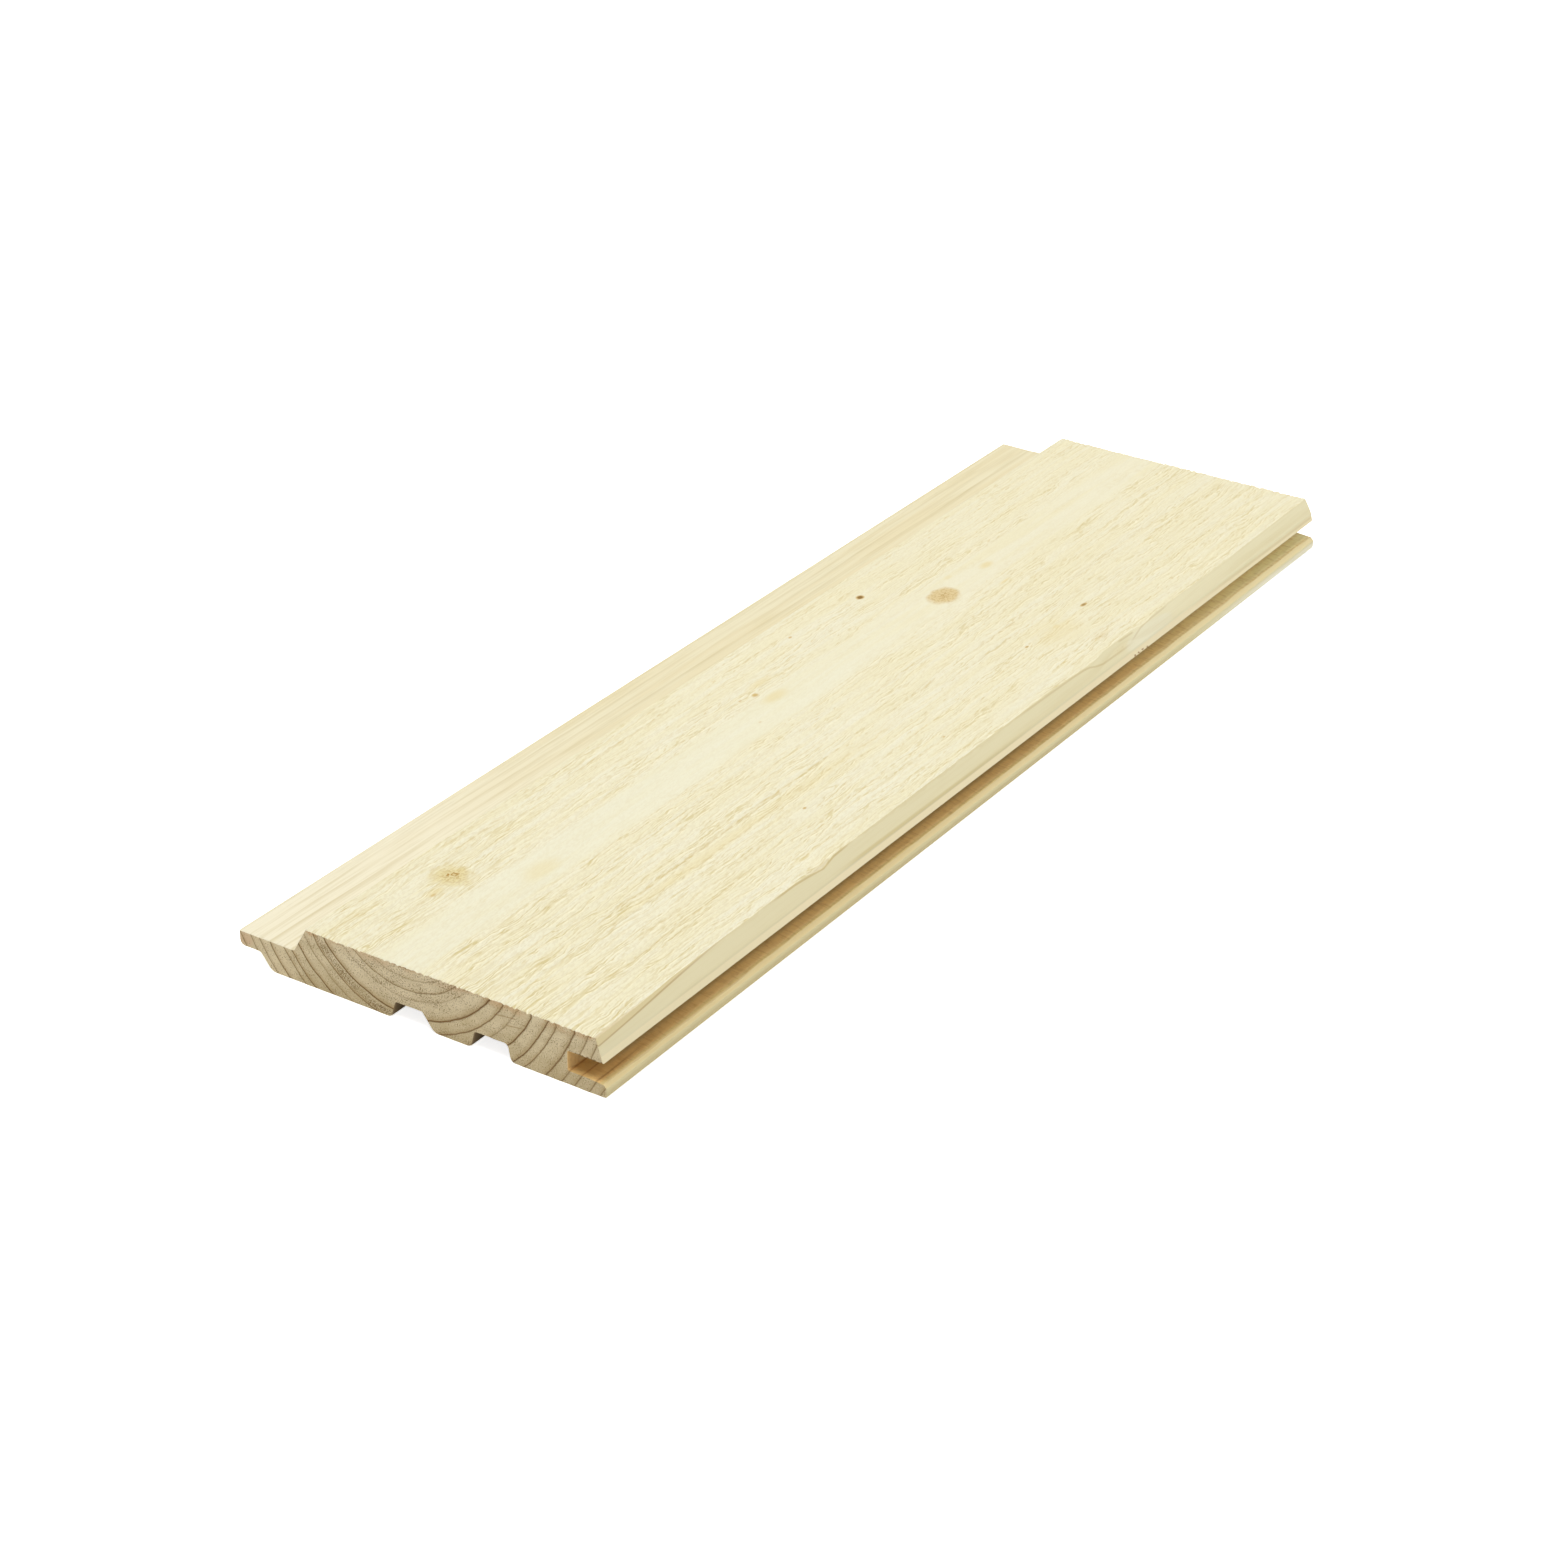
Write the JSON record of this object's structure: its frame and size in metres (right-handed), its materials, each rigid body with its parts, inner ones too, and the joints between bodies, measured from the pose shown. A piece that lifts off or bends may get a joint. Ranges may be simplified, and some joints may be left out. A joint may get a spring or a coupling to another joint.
{
  "type": "rough sawn cladding board",
  "caption": "Flat wooden cladding board with a rough sawn face, bevelled edges, a tongue on one side, a groove on the other and shallow relief grooves in its back.",
  "frame": {"origin": "on the flat back, under the middle of the board's length and overall width", "axes": "+X along the board, +Y across it towards the tongue, +Z from the back to the sawn face"},
  "size_m": [0.49, 0.146, 0.021],
  "materials": {
    "spruce": "rough sawn on the face, planed on the tongue, groove and back, untreated"
  },
  "bodies": {
    "root": {"board": "spruce"}
  },
  "joints": []
}
